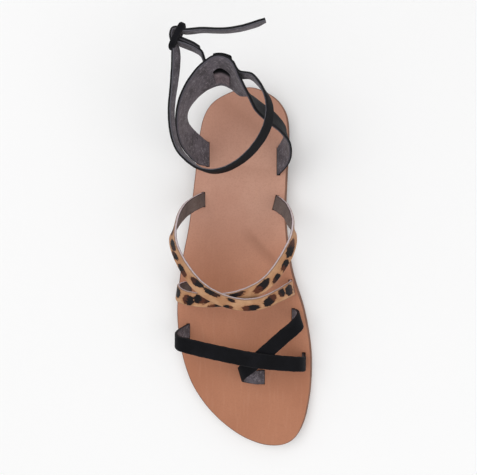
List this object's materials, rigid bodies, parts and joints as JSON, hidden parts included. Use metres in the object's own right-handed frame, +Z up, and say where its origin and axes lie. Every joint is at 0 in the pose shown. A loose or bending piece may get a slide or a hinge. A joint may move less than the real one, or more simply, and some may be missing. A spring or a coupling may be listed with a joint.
{
  "type": "flat strap sandal",
  "caption": "Flat leather sandal for a right foot, with crossed spotted instep straps, a toe strap with a thong strap, a heel piece and a tied ankle strap.",
  "frame": {"origin": "on the floor under the middle of the heel", "axes": "+Z up, -Y towards the toes, +X towards the inner side of the foot"},
  "size_m": [0.0973, 0.2757, 0.0896],
  "materials": {
    "footbed_leather": "natural pinkish tan leather, smooth",
    "outsole_leather": "dark edged leather, matt",
    "heel_rubber": "dark rubber, matt",
    "spotted_hide": "hair-on leather, golden tan with near-black spots",
    "black_leather": "black grain leather with a grey flesh side"
  },
  "bodies": {
    "root": {"footbed": "footbed_leather", "outsole": "outsole_leather", "heel_lift": "heel_rubber", "instep_straps": "spotted_hide", "toe_straps": "black_leather", "heel_piece": "black_leather", "ankle_strap": "black_leather"}
  },
  "joints": []
}
